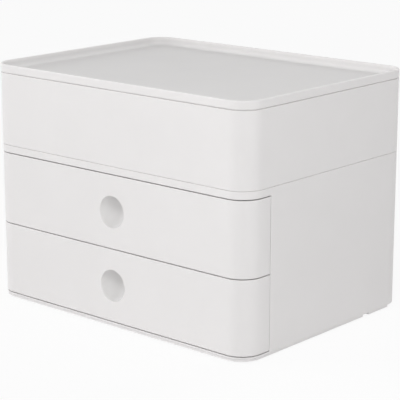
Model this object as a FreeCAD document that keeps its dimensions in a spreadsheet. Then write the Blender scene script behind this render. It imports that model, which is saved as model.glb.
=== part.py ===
"""Desk file box: a two-drawer unit, a storage box that stands on it and a lid that is a shallow tray.

Millimetres. +X is to the right, -Y is the front, +Z is up. The origin is on the desk, at the middle of
the footprint. Every driving size is a cell of the sheet "Sizes"; every feature is bound to those cells.
"""

import FreeCAD, Part
import math
import os

import Sketcher

DOCUMENT = FreeCAD.newDocument("file_box")
VECTOR = FreeCAD.Vector
QUARTER_TURN = math.pi / 2
VOLUME_TOLERANCE = 1e-3
PLACE_TOLERANCE = 1e-4

DRIVING_SIZES = {
    # outline of the whole stack
    "body_width": 260.0,
    "body_depth": 195.0,
    "corner_radius": 17.5,
    # housing
    "housing_wall": 2.5,
    "deck_thickness": 2.5,
    "lip_height": 5.8,
    "sill_thickness": 1.3,
    "sill_width": 12.0,
    "sill_opening_radius": 8.0,
    "deck_rib_width": 1.6,
    "deck_rib_height": 2.0,
    "deck_rib_pitch": 60.0,
    "ridge_height": 1.8,
    "ridge_width": 1.6,
    # base plate and feet
    "foot_drop": 1.0,
    "foot_radius": 6.0,
    "foot_edge_radius": 0.8,
    "foot_inset": 12.0,
    "foot_ring_clearance": 0.4,
    "foot_ring_width": 1.4,
    "foot_ring_height": 0.8,
    "plinth_height": 1.8,
    "plinth_inset": 0.6,
    "plinth_width": 14.0,
    "panel_thickness": 1.6,
    "panel_clearance": 0.3,
    "panel_rib_width": 1.2,
    "panel_rib_height": 0.9,
    "foot_rib_gap": 2.0,
    "notch_width": 8.0,
    "notch_depth": 5.0,
    "notch_setback": 43.0,
    # drawer fronts
    "front_height": 56.75,
    "front_wall": 2.5,
    "front_gap": 0.8,
    "seam_setback": 27.8,
    "seam_gap": 0.4,
    "cup_radius": 12.5,
    "cup_depth": 11.0,
    "cup_wall": 2.0,
    "cup_hole_clearance": 0.8,
    "web_thickness": 1.6,
    "web_clearance": 0.8,
    # drawer trays
    "tray_wall": 2.0,
    "tray_floor": 2.0,
    "tray_corner_radius": 8.0,
    "tray_floor_fillet": 3.0,
    "tray_base_fillet": 1.5,
    "tray_lift": 0.35,
    "tray_side_clearance": 6.0,
    "tray_rear_clearance": 6.0,
    "flange_thickness": 1.8,
    "flange_clearance": 1.2,
    "flange_overhang": 2.5,
    # rails, stops and shelf
    "rail_clearance": 0.4,
    "rail_thickness": 1.6,
    "rail_width": 3.6,
    "rail_setback": 3.0,
    "keeper_width": 2.0,
    "keeper_height": 1.0,
    "keeper_clearance": 0.2,
    "stop_clearance": 1.5,
    "stop_setback": 1.0,
    "stop_length": 4.0,
    "stop_base": 20.0,
    "stop_height": 12.0,
    "lug_setback": 9.0,
    "shelf_thickness": 1.6,
    "shelf_clearance": 0.3,
    "shelf_front_clearance": 0.8,
    "shelf_front_radius": 30.0,
    "shelf_lip_height": 1.2,
    "shelf_lip_thickness": 1.6,
    "runner_width": 3.0,
    "runner_inset": 31.5,
    "runner_margin": 8.0,
    # fasteners
    "boss_radius": 2.6,
    "boss_reach": 2.3,
    "boss_height": 12.0,
    "side_screw_margin": 17.25,
    "rear_screw_offset": 60.0,
    "base_screw_radius": 1.1,
    "base_screw_length": 9.0,
    "base_head_radius": 2.3,
    "screw_clearance": 0.1,
    "screw_hole_clearance": 0.3,
    "front_boss_radius": 3.0,
    "front_boss_length": 3.0,
    "front_screw_offset": 60.0,
    "front_screw_low": 12.0,
    "front_screw_drop": 8.0,
    "front_screw_radius": 1.2,
    "front_screw_length": 5.6,
    "front_head_radius": 2.5,
    "front_head_height": 1.8,
    # storage box
    "box_height": 57.7,
    "box_wall": 2.5,
    "box_floor": 2.0,
    "box_floor_height": 2.5,
    "box_floor_fillet": 4.0,
    "box_clearance": 0.3,
    "reveal_gap": 0.5,
    "reveal_depth": 1.1,
    # lid
    "lid_height": 6.5,
    "lid_rim": 2.0,
    "lid_recess": 6.8,
    "lid_recess_fillet": 3.3,
    "plug_depth": 2.1,
    "plug_clearance": 0.3,
    # rounded edges
    "rim_round": 0.7,
    "edge_round": 0.4,
    "gap_round": 0.3,
}


class Length:
    """A length known both as a number and as the expression that the document binds to."""

    def __init__(self, value, text):
        self.value = value
        self.text = text

    @staticmethod
    def of(item):
        return item if isinstance(item, Length) else Length(float(item), repr(float(item)))

    def join(self, other, sign, value):
        return Length(value, f"({self.text} {sign} {other.text})")

    def __add__(self, item):
        other = Length.of(item)
        return self.join(other, "+", self.value + other.value)

    def __sub__(self, item):
        other = Length.of(item)
        return self.join(other, "-", self.value - other.value)

    def __rsub__(self, item):
        return Length.of(item) - self

    def __mul__(self, item):
        other = Length.of(item)
        return self.join(other, "*", self.value * other.value)

    def __truediv__(self, item):
        other = Length.of(item)
        return self.join(other, "/", self.value / other.value)

    def __neg__(self):
        return Length(-self.value, f"(-1 * {self.text})")


class Sizes:
    """The driving sizes, each as a Length bound to its cell."""

    def __init__(self, driving):
        sheet = DOCUMENT.addObject("Spreadsheet::Sheet", "Sizes")
        for row, (name, value) in enumerate(driving.items(), start=1):
            sheet.set(f"A{row}", name)
            sheet.set(f"B{row}", str(value))
            sheet.setAlias(f"B{row}", name)
            setattr(self, name, Length(value, f"Sizes.{name}"))


S = Sizes(DRIVING_SIZES)
ZERO = Length(0.0, "0")
DOCUMENT.recompute()

# Levels, from the desk up
HOUSING_BOTTOM = S.foot_drop + S.plinth_height
SILL_TOP = HOUSING_BOTTOM + S.sill_thickness
PITCH = S.front_height + S.front_gap
FRONT_BOTTOMS = {"lower": SILL_TOP + S.front_gap, "upper": SILL_TOP + S.front_gap + PITCH}
TRAY_BOTTOMS = {level: bottom + S.tray_lift for level, bottom in FRONT_BOTTOMS.items()}
RUNNER_HEIGHT = S.front_gap + S.tray_lift
SHELF_TOP = FRONT_BOTTOMS["upper"] - S.front_gap
SHELF_BOTTOM = SHELF_TOP - S.shelf_thickness
LIP_BOTTOM = FRONT_BOTTOMS["upper"] + PITCH
DECK_TOP = LIP_BOTTOM + S.lip_height
DECK_BOTTOM = DECK_TOP - S.deck_thickness
LID_BOTTOM = DECK_TOP + S.box_height
RAIL_OFFSET = SHELF_BOTTOM - S.rail_thickness - TRAY_BOTTOMS["lower"]
TRAY_HEIGHT = RAIL_OFFSET - S.rail_clearance

# Places across the width and along the depth
HALF_WIDTH = S.body_width / 2
FRONT_PLANE = -(S.body_depth / 2)
REAR_PLANE = S.body_depth / 2
BAY_HALF_WIDTH = HALF_WIDTH - S.housing_wall
BAY_REAR = REAR_PLANE - S.housing_wall
CORNER_START = REAR_PLANE - S.corner_radius
SEAM = FRONT_PLANE + S.seam_setback
WALL_FRONT = SEAM + S.seam_gap / 2
RETURN_REAR = SEAM - S.seam_gap / 2
FRONT_INSIDE = FRONT_PLANE + S.front_wall
TRAY_FRONT = FRONT_INSIDE + S.front_boss_length
TRAY_REAR = BAY_REAR - S.tray_rear_clearance
TRAY_HALF_WIDTH = BAY_HALF_WIDTH - S.tray_side_clearance
STOP_REAR = WALL_FRONT + S.stop_setback + S.stop_length
LUG_REAR = TRAY_REAR - S.lug_setback
LUG_FRONT = LUG_REAR - S.stop_length
FOOT_X = HALF_WIDTH - S.plinth_width - S.foot_inset
FOOT_Y = REAR_PLANE - S.plinth_width - S.foot_inset
PANEL_RIB_PITCH = (FOOT_X - S.foot_radius - S.foot_rib_gap) / 2

# Places of the screws: (x, y) in the base plate and (x, height in the tray) in a drawer front
SCREW_LINE_X = BAY_HALF_WIDTH - S.boss_reach
SCREW_LINE_Y = BAY_REAR - S.boss_reach
FIRST_SIDE_SCREW = WALL_FRONT + S.side_screw_margin
LAST_SIDE_SCREW = CORNER_START - S.side_screw_margin
BASE_SCREWS = [
    (SCREW_LINE_X * side, y)
    for side in (-1, 1)
    for y in (FIRST_SIDE_SCREW, (FIRST_SIDE_SCREW + LAST_SIDE_SCREW) / 2, LAST_SIDE_SCREW)
] + [(S.rear_screw_offset * side, SCREW_LINE_Y) for side in (-1, 1)]
FRONT_SCREWS = [
    (S.front_screw_offset * side, height)
    for side in (-1, 1)
    for height in (S.front_screw_low, TRAY_HEIGHT - S.front_screw_drop)
]
CUP_HEIGHT = S.front_height / 2
CUP_SPHERE = (S.cup_radius * S.cup_radius + S.cup_depth * S.cup_depth) / (S.cup_depth * 2)
CUP_CENTRE_Y = FRONT_PLANE + S.cup_depth - CUP_SPHERE

# How far a feature reaches past a face that it has to cross, so that no two faces lie in one plane
MARGIN = S.housing_wall / 2


# Sketches and features


def new_body(name, height=None):
    body = DOCUMENT.addObject("PartDesign::Body", name)
    body.Label = name
    if height is not None:
        body.setExpression("Placement.Base.z", height.text)
    return body


def new_sketch(body, name, role, offset=None):
    """A sketch on one of the body's own origin planes, moved along the plane's normal by offset."""
    sketch = body.newObject("Sketcher::SketchObject", name)
    plane = next(item for item in body.Origin.OriginFeatures if item.Role == role)
    sketch.AttachmentSupport = [(plane, "")]
    sketch.MapMode = "FlatFace"
    if offset is not None:
        sketch.setExpression("AttachmentOffset.Base.z", offset.text)
    return sketch


def add_constraints(sketch, constraints, driving):
    """Adds free constraints, then the driving ones: (name, constraint, the length that it follows)."""
    sketch.addConstraint(constraints)
    prefix = f"shape{sketch.GeometryCount}"
    for name, constraint, length in driving:
        index = sketch.addConstraint(constraint)
        sketch.renameConstraint(index, f"{prefix}_{name}")
        sketch.setExpression(f"Constraints.{prefix}_{name}", length.text)


def add_rectangle(sketch, left, right, low, high):
    corners = [(left, low), (right, low), (right, high), (left, high)]
    points = [VECTOR(x.value, y.value, 0) for x, y in corners]
    first = sketch.GeometryCount
    sketch.addGeometry([Part.LineSegment(points[i], points[(i + 1) % 4]) for i in range(4)])
    links = [Sketcher.Constraint("Coincident", first + i, 2, first + (i + 1) % 4, 1) for i in range(4)]
    links += [Sketcher.Constraint("Horizontal", first + i) for i in (0, 2)]
    links += [Sketcher.Constraint("Vertical", first + i) for i in (1, 3)]
    driving = [
        ("low", Sketcher.Constraint("DistanceY", first, 1, low.value), low),
        ("right", Sketcher.Constraint("DistanceX", first + 1, 1, right.value), right),
        ("high", Sketcher.Constraint("DistanceY", first + 2, 1, high.value), high),
        ("left", Sketcher.Constraint("DistanceX", first + 3, 1, left.value), left),
    ]
    add_constraints(sketch, links, driving)


def add_circle(sketch, x, y, radius):
    index = sketch.addGeometry(Part.Circle(VECTOR(x.value, y.value, 0), VECTOR(0, 0, 1), radius.value))
    driving = [
        ("x", Sketcher.Constraint("DistanceX", index, 3, x.value), x),
        ("y", Sketcher.Constraint("DistanceY", index, 3, y.value), y),
        ("radius", Sketcher.Constraint("Radius", index, radius.value), radius),
    ]
    add_constraints(sketch, [], driving)


class Outline:
    """A plan outline, symmetric about the YZ plane, with straight sides and rounded corners."""

    def __init__(self, half_width, front, back, radius, front_radius=None):
        self.half_width = half_width
        self.front = front
        self.back = back
        self.radius = radius
        self.front_radius = front_radius or radius

    def inset(self, distance, radius=None):
        return Outline(
            self.half_width - distance,
            self.front + distance,
            self.back - distance,
            radius or self.radius - distance,
        )

    def draw(self, sketch):
        right, front, back = self.half_width.value, self.front.value, self.back.value
        near, far = self.front_radius.value, self.radius.value
        first = sketch.GeometryCount
        corners = [
            (right - near, front + near, near, 270),
            (right - far, back - far, far, 0),
            (far - right, back - far, far, 90),
            (near - right, front + near, near, 180),
        ]
        arcs = []
        for x, y, radius, start in corners:
            circle = Part.Circle(VECTOR(x, y, 0), VECTOR(0, 0, 1), radius)
            begin = math.radians(start)
            arcs.append(Part.ArcOfCircle(circle, begin, begin + QUARTER_TURN))
        for i, arc in enumerate(arcs):
            sketch.addGeometry([Part.LineSegment(arcs[i - 1].EndPoint, arc.StartPoint), arc])
        count = 2 * len(arcs)
        links = [
            Sketcher.Constraint("Tangent", first + i, 2, first + (i + 1) % count, 1) for i in range(count)
        ]
        links += [Sketcher.Constraint("Horizontal", first + i) for i in (0, 4)]
        links += [Sketcher.Constraint("Vertical", first + i) for i in (2, 6)]
        links += [Sketcher.Constraint("Equal", first + 1, first + 7)]
        links += [Sketcher.Constraint("Equal", first + 3, first + 5)]
        left = -self.half_width
        driving = [
            ("front", Sketcher.Constraint("DistanceY", first, 1, front), self.front),
            ("right", Sketcher.Constraint("DistanceX", first + 2, 1, right), self.half_width),
            ("back", Sketcher.Constraint("DistanceY", first + 4, 1, back), self.back),
            ("left", Sketcher.Constraint("DistanceX", first + 6, 1, left.value), left),
            ("front_radius", Sketcher.Constraint("Radius", first + 1, near), self.front_radius),
            ("back_radius", Sketcher.Constraint("Radius", first + 3, far), self.radius),
        ]
        add_constraints(sketch, links, driving)

    def holds(self, point):
        """True where the point lies on the outline, for one with four equal corners."""
        middle = (self.front.value + self.back.value) / 2
        reach = (self.back.value - self.front.value) / 2
        radius = self.radius.value
        across = abs(point.x) - (self.half_width.value - radius)
        along = abs(point.y - middle) - (reach - radius)
        outside = VECTOR(max(across, 0), max(along, 0), 0).Length
        distance = outside - radius if outside > 0 else max(across, along) - radius
        return abs(distance) < PLACE_TOLERANCE

    def edges(self, shape, height):
        """Names of the shape's edges that run along this outline at the height."""
        return [
            f"Edge{number}"
            for number, edge in enumerate(shape.Edges, start=1)
            if not edge.Degenerated
            and all(
                abs(point.z - height.value) < PLACE_TOLERANCE and self.holds(point)
                for point in edge.discretize(3)
            )
        ]


def both_sides(sketch, near, far, front, back):
    """Two like rectangles, right and left of the YZ plane."""
    add_rectangle(sketch, near, far, front, back)
    add_rectangle(sketch, -far, -near, front, back)


def extrude(kind, body, sketch, name, length, flip=False):
    feature = body.newObject(f"PartDesign::{kind}", name)
    feature.Profile = sketch
    feature.setExpression("Length", length.text)
    feature.Reversed = flip
    body.Tip = feature
    return feature


def pad(body, name, height, length, draw, role="XY_Plane", flip=False):
    """Adds material from a sketch plane along its normal, or against it with flip."""
    sketch = new_sketch(body, f"{name}_sketch", role, height)
    draw(sketch)
    return extrude("Pad", body, sketch, name, length, flip)


def cut(body, name, height, length, draw, role="XY_Plane", flip=False):
    """Takes material away from a sketch plane against its normal, or along it with flip."""
    sketch = new_sketch(body, f"{name}_sketch", role, height)
    draw(sketch)
    return extrude("Pocket", body, sketch, name, length, flip)


def dress(kind, body, name, property_name, size, choose):
    """A fillet or chamfer on the edges that choose names on the body's present shape."""
    DOCUMENT.recompute()
    base = body.Tip
    names = choose(base.Shape)
    if not names:
        raise RuntimeError(f"{body.Label}: no edges for {name}")
    feature = body.newObject(f"PartDesign::{kind}", name)
    feature.Base = (base, names)
    feature.setExpression(property_name, size.text)
    body.Tip = feature
    return feature


def fillet(body, name, radius, choose):
    return dress("Fillet", body, name, "Radius", radius, choose)


def upright_edges(shape, place):
    """Names of the shape's upright edges that stand in the outside of both side walls, at place along Y."""
    names = []
    for number, edge in enumerate(shape.Edges, start=1):
        box = edge.BoundBox
        upright = box.XLength < PLACE_TOLERANCE and box.YLength < PLACE_TOLERANCE
        outside = abs(abs(box.XMin) - HALF_WIDTH.value) < PLACE_TOLERANCE
        if upright and outside and abs(box.YMin - place.value) < PLACE_TOLERANCE:
            names.append(f"Edge{number}")
    return names


STACK = Outline(HALF_WIDTH, FRONT_PLANE, REAR_PLANE, S.corner_radius)
TRAY_OUTLINE = Outline(TRAY_HALF_WIDTH, TRAY_FRONT, TRAY_REAR, S.tray_corner_radius)


# Drawer unit


def add_rails(body):
    """Ledges on both side walls: they hold the trays down when pulled out, and carry the shelf."""
    near = BAY_HALF_WIDTH - S.rail_width
    far = BAY_HALF_WIDTH + MARGIN
    front = WALL_FRONT + S.rail_setback

    def rails(sketch):
        both_sides(sketch, near, far, front, CORNER_START)

    def keepers(sketch):
        both_sides(sketch, BAY_HALF_WIDTH - S.keeper_width, far, front, CORNER_START)

    for level, bottom in TRAY_BOTTOMS.items():
        pad(body, f"{level}_rails", bottom + RAIL_OFFSET, S.rail_thickness, rails)
    pad(body, "shelf_keepers", SHELF_TOP + S.keeper_clearance, S.keeper_height, keepers)


def add_stops(body):
    """Blocks behind the front edge of each side wall, which the lugs of the trays run up to."""
    near = TRAY_HALF_WIDTH + S.stop_clearance
    far = BAY_HALF_WIDTH + MARGIN
    front = WALL_FRONT + S.stop_setback

    def blocks(sketch):
        both_sides(sketch, near, far, front, STOP_REAR)

    for level, bottom in TRAY_BOTTOMS.items():
        pad(body, f"{level}_stops", bottom + S.stop_base, S.stop_height, blocks)


def add_screw_bosses(body):
    def bosses(sketch):
        for x, y in BASE_SCREWS:
            add_circle(sketch, x, y, S.boss_radius)

    def pilots(sketch):
        for x, y in BASE_SCREWS:
            add_circle(sketch, x, y, S.base_screw_radius + S.screw_clearance)

    pad(body, "screw_bosses", HOUSING_BOTTOM, S.sill_thickness + S.boss_height, bosses)
    cut(body, "screw_pilots", HOUSING_BOTTOM, S.base_screw_length, pilots, flip=True)


def add_deck_ribs(body):
    half = S.deck_rib_width / 2

    def ribs(sketch):
        for step in (-1, 0, 1):
            centre = S.deck_rib_pitch * step
            add_rectangle(sketch, centre - half, centre + half, FRONT_PLANE + MARGIN, BAY_REAR + MARGIN)

    pad(body, "deck_ribs", DECK_BOTTOM, S.deck_rib_height, ribs, flip=True)


def add_deck_ridge(body):
    """A low ridge round the deck that keeps the storage box in place."""
    outer = STACK.inset(S.box_wall + S.box_clearance)

    def ridge(sketch):
        outer.draw(sketch)
        outer.inset(S.ridge_width).draw(sketch)

    pad(body, "deck_ridge", DECK_TOP, S.ridge_height, ridge)


def build_housing():
    body = new_body("housing_shell")
    pad(body, "block", HOUSING_BOTTOM, DECK_TOP - HOUSING_BOTTOM, STACK.draw)
    cut(body, "bay", DECK_BOTTOM, DECK_BOTTOM - SILL_TOP, STACK.inset(S.housing_wall).draw)
    opening = STACK.inset(S.sill_width, S.sill_opening_radius)
    cut(body, "base_opening", SILL_TOP, S.sill_thickness, opening.draw)
    side = HALF_WIDTH + MARGIN
    cut(
        body,
        "front_opening",
        LIP_BOTTOM,
        LIP_BOTTOM - SILL_TOP,
        lambda s: add_rectangle(s, -side, side, FRONT_PLANE - MARGIN, WALL_FRONT),
    )
    add_rails(body)
    add_stops(body)
    add_screw_bosses(body)
    add_deck_ribs(body)
    fillet(body, "deck_edge", S.edge_round, lambda shape: STACK.edges(shape, DECK_TOP))
    fillet(body, "base_edge", S.edge_round, lambda shape: STACK.edges(shape, HOUSING_BOTTOM))

    def opening_edges(shape):
        """The outer edges of the front opening: under the lip, over the sill and down both walls."""
        level = STACK.edges(shape, LIP_BOTTOM) + STACK.edges(shape, SILL_TOP)
        return level + upright_edges(shape, WALL_FRONT)

    fillet(body, "opening_edge", S.gap_round, opening_edges)
    add_deck_ridge(body)
    return body


def build_base_plate():
    body = new_body("base_plate")
    plinth = STACK.inset(S.plinth_inset)
    panel = STACK.inset(S.sill_width + S.panel_clearance, S.sill_opening_radius - S.panel_clearance)
    panel_bottom = SILL_TOP - S.panel_thickness
    hollow = STACK.inset(S.plinth_width, S.sill_opening_radius)
    pad(body, "plinth", S.foot_drop, S.plinth_height, plinth.draw)
    pad(body, "panel", panel_bottom, S.panel_thickness, panel.draw)
    cut(body, "hollow", S.foot_drop, panel_bottom - S.foot_drop, hollow.draw, flip=True)

    half_rib = S.panel_rib_width / 2
    reach = hollow.half_width + MARGIN
    near, far = hollow.front - MARGIN, hollow.back + MARGIN

    def long_ribs(sketch):
        for step in (-2, -1, 0, 1, 2):
            centre = PANEL_RIB_PITCH * step
            add_rectangle(sketch, centre - half_rib, centre + half_rib, near, far)

    def cross_ribs(sketch):
        for step in (-1, 0, 1):
            centre = PANEL_RIB_PITCH * step
            add_rectangle(sketch, -reach, reach, centre - half_rib, centre + half_rib)

    pad(body, "long_ribs", panel_bottom, S.panel_rib_height, long_ribs, flip=True)
    pad(body, "cross_ribs", panel_bottom, S.panel_rib_height, cross_ribs, flip=True)

    def foot_rings(sketch):
        inner = S.foot_radius + S.foot_ring_clearance
        for x, y in FOOT_PLACES.values():
            add_circle(sketch, x, y, inner)
            add_circle(sketch, x, y, inner + S.foot_ring_width)

    pad(body, "foot_rings", panel_bottom, S.foot_ring_height, foot_rings, flip=True)
    pad(body, "runners", SILL_TOP, RUNNER_HEIGHT, draw_runners)

    inner = plinth.half_width - S.notch_depth
    outer = HALF_WIDTH + MARGIN
    rear = REAR_PLANE - S.notch_setback
    cut(
        body,
        "side_notches",
        S.foot_drop,
        S.plinth_height,
        lambda s: both_sides(s, inner, outer, rear - S.notch_width, rear),
        flip=True,
    )
    corner_x = HALF_WIDTH - S.corner_radius
    cut(
        body,
        "corner_cuts",
        S.foot_drop,
        S.plinth_height,
        lambda s: both_sides(s, corner_x, outer, CORNER_START, REAR_PLANE + MARGIN),
        flip=True,
    )

    hole_radius = S.base_screw_radius + S.screw_hole_clearance

    def screw_holes(sketch):
        for x, y in BASE_SCREWS:
            add_circle(sketch, x, y, hole_radius)

    cut(body, "screw_holes", S.foot_drop, S.plinth_height, screw_holes, flip=True)

    def hole_mouths(shape):
        return [
            f"Edge{number}"
            for number, edge in enumerate(shape.Edges, start=1)
            if isinstance(edge.Curve, Part.Circle)
            and abs(edge.Curve.Radius - hole_radius.value) < PLACE_TOLERANCE
            and abs(edge.BoundBox.ZMax - S.foot_drop.value) < PLACE_TOLERANCE
        ]

    dress("Chamfer", body, "countersinks", "Size", S.base_head_radius - S.base_screw_radius, hole_mouths)
    return body


FOOT_PLACES = {
    "front_left": (-FOOT_X, -FOOT_Y),
    "front_right": (FOOT_X, -FOOT_Y),
    "rear_left": (-FOOT_X, FOOT_Y),
    "rear_right": (FOOT_X, FOOT_Y),
}


def build_foot(corner):
    body = new_body(f"foot_{corner}")
    x, y = FOOT_PLACES[corner]
    body.setExpression("Placement.Base.x", x.text)
    body.setExpression("Placement.Base.y", y.text)
    height = SILL_TOP - S.panel_thickness
    pad(body, "disc", None, height, lambda s: add_circle(s, ZERO, ZERO, S.foot_radius))

    def bottom_edge(shape):
        edges = enumerate(shape.Edges, start=1)
        return [f"Edge{number}" for number, edge in edges if edge.BoundBox.ZMax < PLACE_TOLERANCE]

    fillet(body, "worn_edge", S.foot_edge_radius, bottom_edge)
    return body


def draw_runners(sketch):
    """Two strips along the depth, on which a tray slides."""
    far = TRAY_HALF_WIDTH - S.runner_inset
    near = far - S.runner_width
    both_sides(sketch, near, far, TRAY_FRONT + S.runner_margin, TRAY_REAR - S.runner_margin)


def build_shelf():
    body = new_body("middle_shelf")
    front = FRONT_INSIDE + S.shelf_front_clearance
    plate = Outline(
        BAY_HALF_WIDTH - S.shelf_clearance,
        front,
        BAY_REAR - S.shelf_clearance,
        S.corner_radius - S.housing_wall,
        S.shelf_front_radius,
    )
    pad(body, "plate", SHELF_BOTTOM, S.shelf_thickness, plate.draw)
    half = plate.half_width - S.shelf_front_radius
    pad(
        body,
        "front_stiffener",
        SHELF_BOTTOM,
        S.shelf_lip_height,
        lambda s: add_rectangle(s, -half, half, front, front + S.shelf_lip_thickness),
        flip=True,
    )
    pad(body, "runners", SHELF_TOP, RUNNER_HEIGHT, draw_runners)
    return body


# Drawers


def build_drawer_front(level):
    """A shell that wraps round both front corners, with two webs behind it and a sunken grip."""
    body = new_body(f"{level}_drawer_front", FRONT_BOTTOMS[level])
    height = S.front_height
    inside = STACK.inset(S.front_wall)
    tray_space = TRAY_OUTLINE.inset(-S.web_clearance)
    pad(body, "shell", None, height, STACK.draw)
    free = (height - S.web_thickness * 2) / 3
    for number in range(3):
        top = free * (number + 1) + S.web_thickness * number
        cut(body, f"hollow_{number + 1}", top, free, inside.draw)
    side = HALF_WIDTH + MARGIN
    back = REAR_PLANE + MARGIN
    cut(body, "tray_space", height, height, tray_space.draw)
    cut(body, "returns", height, height, lambda s: add_rectangle(s, -side, side, RETURN_REAR, back))

    def bosses(sketch):
        for x, z in FRONT_SCREWS:
            add_circle(sketch, x, z + S.tray_lift, S.front_boss_radius)

    def pilots(sketch):
        for x, z in FRONT_SCREWS:
            add_circle(sketch, x, z + S.tray_lift, S.front_screw_radius + S.screw_clearance)

    boss_length = S.front_boss_length + MARGIN
    pad(body, "bosses", -TRAY_FRONT, boss_length, bosses, role="XZ_Plane")
    cut(body, "pilots", -TRAY_FRONT, boss_length, pilots, role="XZ_Plane", flip=True)
    add_cup(body)

    def outer_edges(shape):
        level = STACK.edges(shape, height) + STACK.edges(shape, ZERO)
        return level + upright_edges(shape, RETURN_REAR)

    fillet(body, "outer_edge", S.edge_round, outer_edges)
    return body


def add_cup(body):
    """The grip: a ball-shaped hollow sunk into the front, with an even wall behind it."""
    mouth = FRONT_PLANE - CUP_CENTRE_Y
    turned(body, "Revolution", "cup_back", mouth + S.front_wall / 2, CUP_SPHERE + S.cup_wall)
    turned(body, "Groove", "cup", mouth - MARGIN, CUP_SPHERE)


def turned(body, kind, name, start, radius):
    """Turns a segment of a disc, from the abscissa start to the disc's edge, about the grip's axis."""
    sketch = new_sketch(body, f"{name}_sketch", "YZ_Plane")
    sketch.setExpression("AttachmentOffset.Base.x", CUP_CENTRE_Y.text)
    sketch.setExpression("AttachmentOffset.Base.y", CUP_HEIGHT.text)
    rim = (radius.value**2 - start.value**2) ** 0.5
    low, high, tip = VECTOR(start.value, 0, 0), VECTOR(start.value, rim, 0), VECTOR(radius.value, 0, 0)
    circle = Part.Circle(VECTOR(0, 0, 0), VECTOR(0, 0, 1), radius.value)
    sketch.addGeometry(Part.LineSegment(tip, low))
    sketch.addGeometry(Part.LineSegment(low, high))
    sketch.addGeometry(Part.ArcOfCircle(circle, circle.parameter(tip), circle.parameter(high)))
    links = [
        Sketcher.Constraint("Coincident", 0, 2, 1, 1),
        Sketcher.Constraint("Coincident", 1, 2, 2, 2),
        Sketcher.Constraint("Coincident", 2, 1, 0, 1),
        Sketcher.Constraint("Coincident", 2, 3, -1, 1),
        Sketcher.Constraint("PointOnObject", 0, 1, -1),
        Sketcher.Constraint("PointOnObject", 0, 2, -1),
        Sketcher.Constraint("Vertical", 1),
    ]
    driving = [
        ("start", Sketcher.Constraint("DistanceX", 1, 1, start.value), start),
        ("radius", Sketcher.Constraint("Radius", 2, radius.value), radius),
    ]
    add_constraints(sketch, links, driving)
    feature = body.newObject(f"PartDesign::{kind}", name)
    feature.Profile = sketch
    feature.ReferenceAxis = (sketch, ["H_Axis"])
    feature.Angle = 360
    body.Tip = feature


def build_drawer_tray(level):
    body = new_body(f"{level}_drawer_tray", TRAY_BOTTOMS[level])
    outline = TRAY_OUTLINE
    pad(body, "block", None, TRAY_HEIGHT, outline.draw)
    flange = Outline(
        BAY_HALF_WIDTH - S.flange_clearance,
        WALL_FRONT,
        TRAY_REAR + S.flange_overhang,
        S.tray_corner_radius + S.flange_overhang,
        S.flange_overhang,
    )
    pad(body, "flange", TRAY_HEIGHT, S.flange_thickness, flange.draw, flip=True)
    near = TRAY_HALF_WIDTH - S.tray_wall / 2
    far = BAY_HALF_WIDTH - S.stop_clearance

    def lugs(sketch):
        both_sides(sketch, near, far, LUG_FRONT, LUG_REAR)

    pad(body, "lugs", S.stop_base, S.stop_height, lugs)
    inside = outline.inset(S.tray_wall)
    cut(body, "hollow", TRAY_HEIGHT, TRAY_HEIGHT - S.tray_floor, inside.draw)

    def front_holes(sketch):
        cup_radius = S.cup_radius + S.cup_wall + S.cup_hole_clearance
        add_circle(sketch, ZERO, CUP_HEIGHT - S.tray_lift, cup_radius)
        for x, z in FRONT_SCREWS:
            add_circle(sketch, x, z, S.front_screw_radius + S.screw_hole_clearance)

    cut(body, "front_holes", -TRAY_FRONT, S.tray_wall, front_holes, role="XZ_Plane")
    fillet(body, "floor_fillet", S.tray_floor_fillet, lambda shape: inside.edges(shape, S.tray_floor))
    fillet(body, "base_fillet", S.tray_base_fillet, lambda shape: outline.edges(shape, ZERO))
    return body


# Storage box and lid


def build_utensil_box():
    body = new_body("utensil_box", DECK_TOP)
    inside = STACK.inset(S.box_wall)
    floor_top = S.box_floor_height + S.box_floor
    pad(body, "block", None, S.box_height, STACK.draw)
    cut(body, "hollow", S.box_height, S.box_height - floor_top, inside.draw)
    cut(body, "underside", None, S.box_floor_height, inside.draw, flip=True)

    def shoulder(sketch):
        STACK.inset(-MARGIN).draw(sketch)
        STACK.inset(S.reveal_depth).draw(sketch)

    cut(body, "shoulder", S.box_height, S.reveal_gap, shoulder)
    fillet(body, "floor_fillet", S.box_floor_fillet, lambda shape: inside.edges(shape, floor_top))
    shoulder_height = S.box_height - S.reveal_gap
    fillet(body, "shoulder_edge", S.gap_round, lambda shape: STACK.edges(shape, shoulder_height))
    fillet(body, "bottom_edge", S.edge_round, lambda shape: STACK.edges(shape, ZERO))
    return body


def build_lid():
    """The lid: its floor hangs below the rim and plugs the box; its top is a shallow tray."""
    body = new_body("lid_tray", LID_BOTTOM)
    plug = STACK.inset(S.box_wall + S.plug_clearance)
    recess = STACK.inset(S.lid_rim)
    recess_floor = S.lid_height - S.lid_recess
    pad(body, "block", -S.plug_depth, S.lid_height + S.plug_depth, STACK.draw)
    cut(body, "recess", S.lid_height, S.lid_recess, recess.draw)
    fillet(body, "recess_fillet", S.lid_recess_fillet, lambda shape: recess.edges(shape, recess_floor))

    def step(sketch):
        STACK.inset(-MARGIN).draw(sketch)
        plug.draw(sketch)

    cut(body, "step", -S.plug_depth, S.plug_depth, step, flip=True)
    fillet(
        body,
        "rim_edges",
        S.rim_round,
        lambda shape: STACK.edges(shape, S.lid_height) + recess.edges(shape, S.lid_height),
    )
    fillet(body, "skirt_edge", S.edge_round, lambda shape: STACK.edges(shape, ZERO))
    return body


# Fasteners


def drive_cross(radius):
    """Two crossed slots, a third of the head deep, as the solid that the driver needs."""
    depth = radius * 2 / 3
    width = radius / 3
    bar = Part.makeBox(radius * 4 / 3, width, depth, VECTOR(-radius * 2 / 3, -width / 2, 0))
    return bar.fuse(bar.rotated(VECTOR(0, 0, 0), VECTOR(0, 0, 1), 90))


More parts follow.
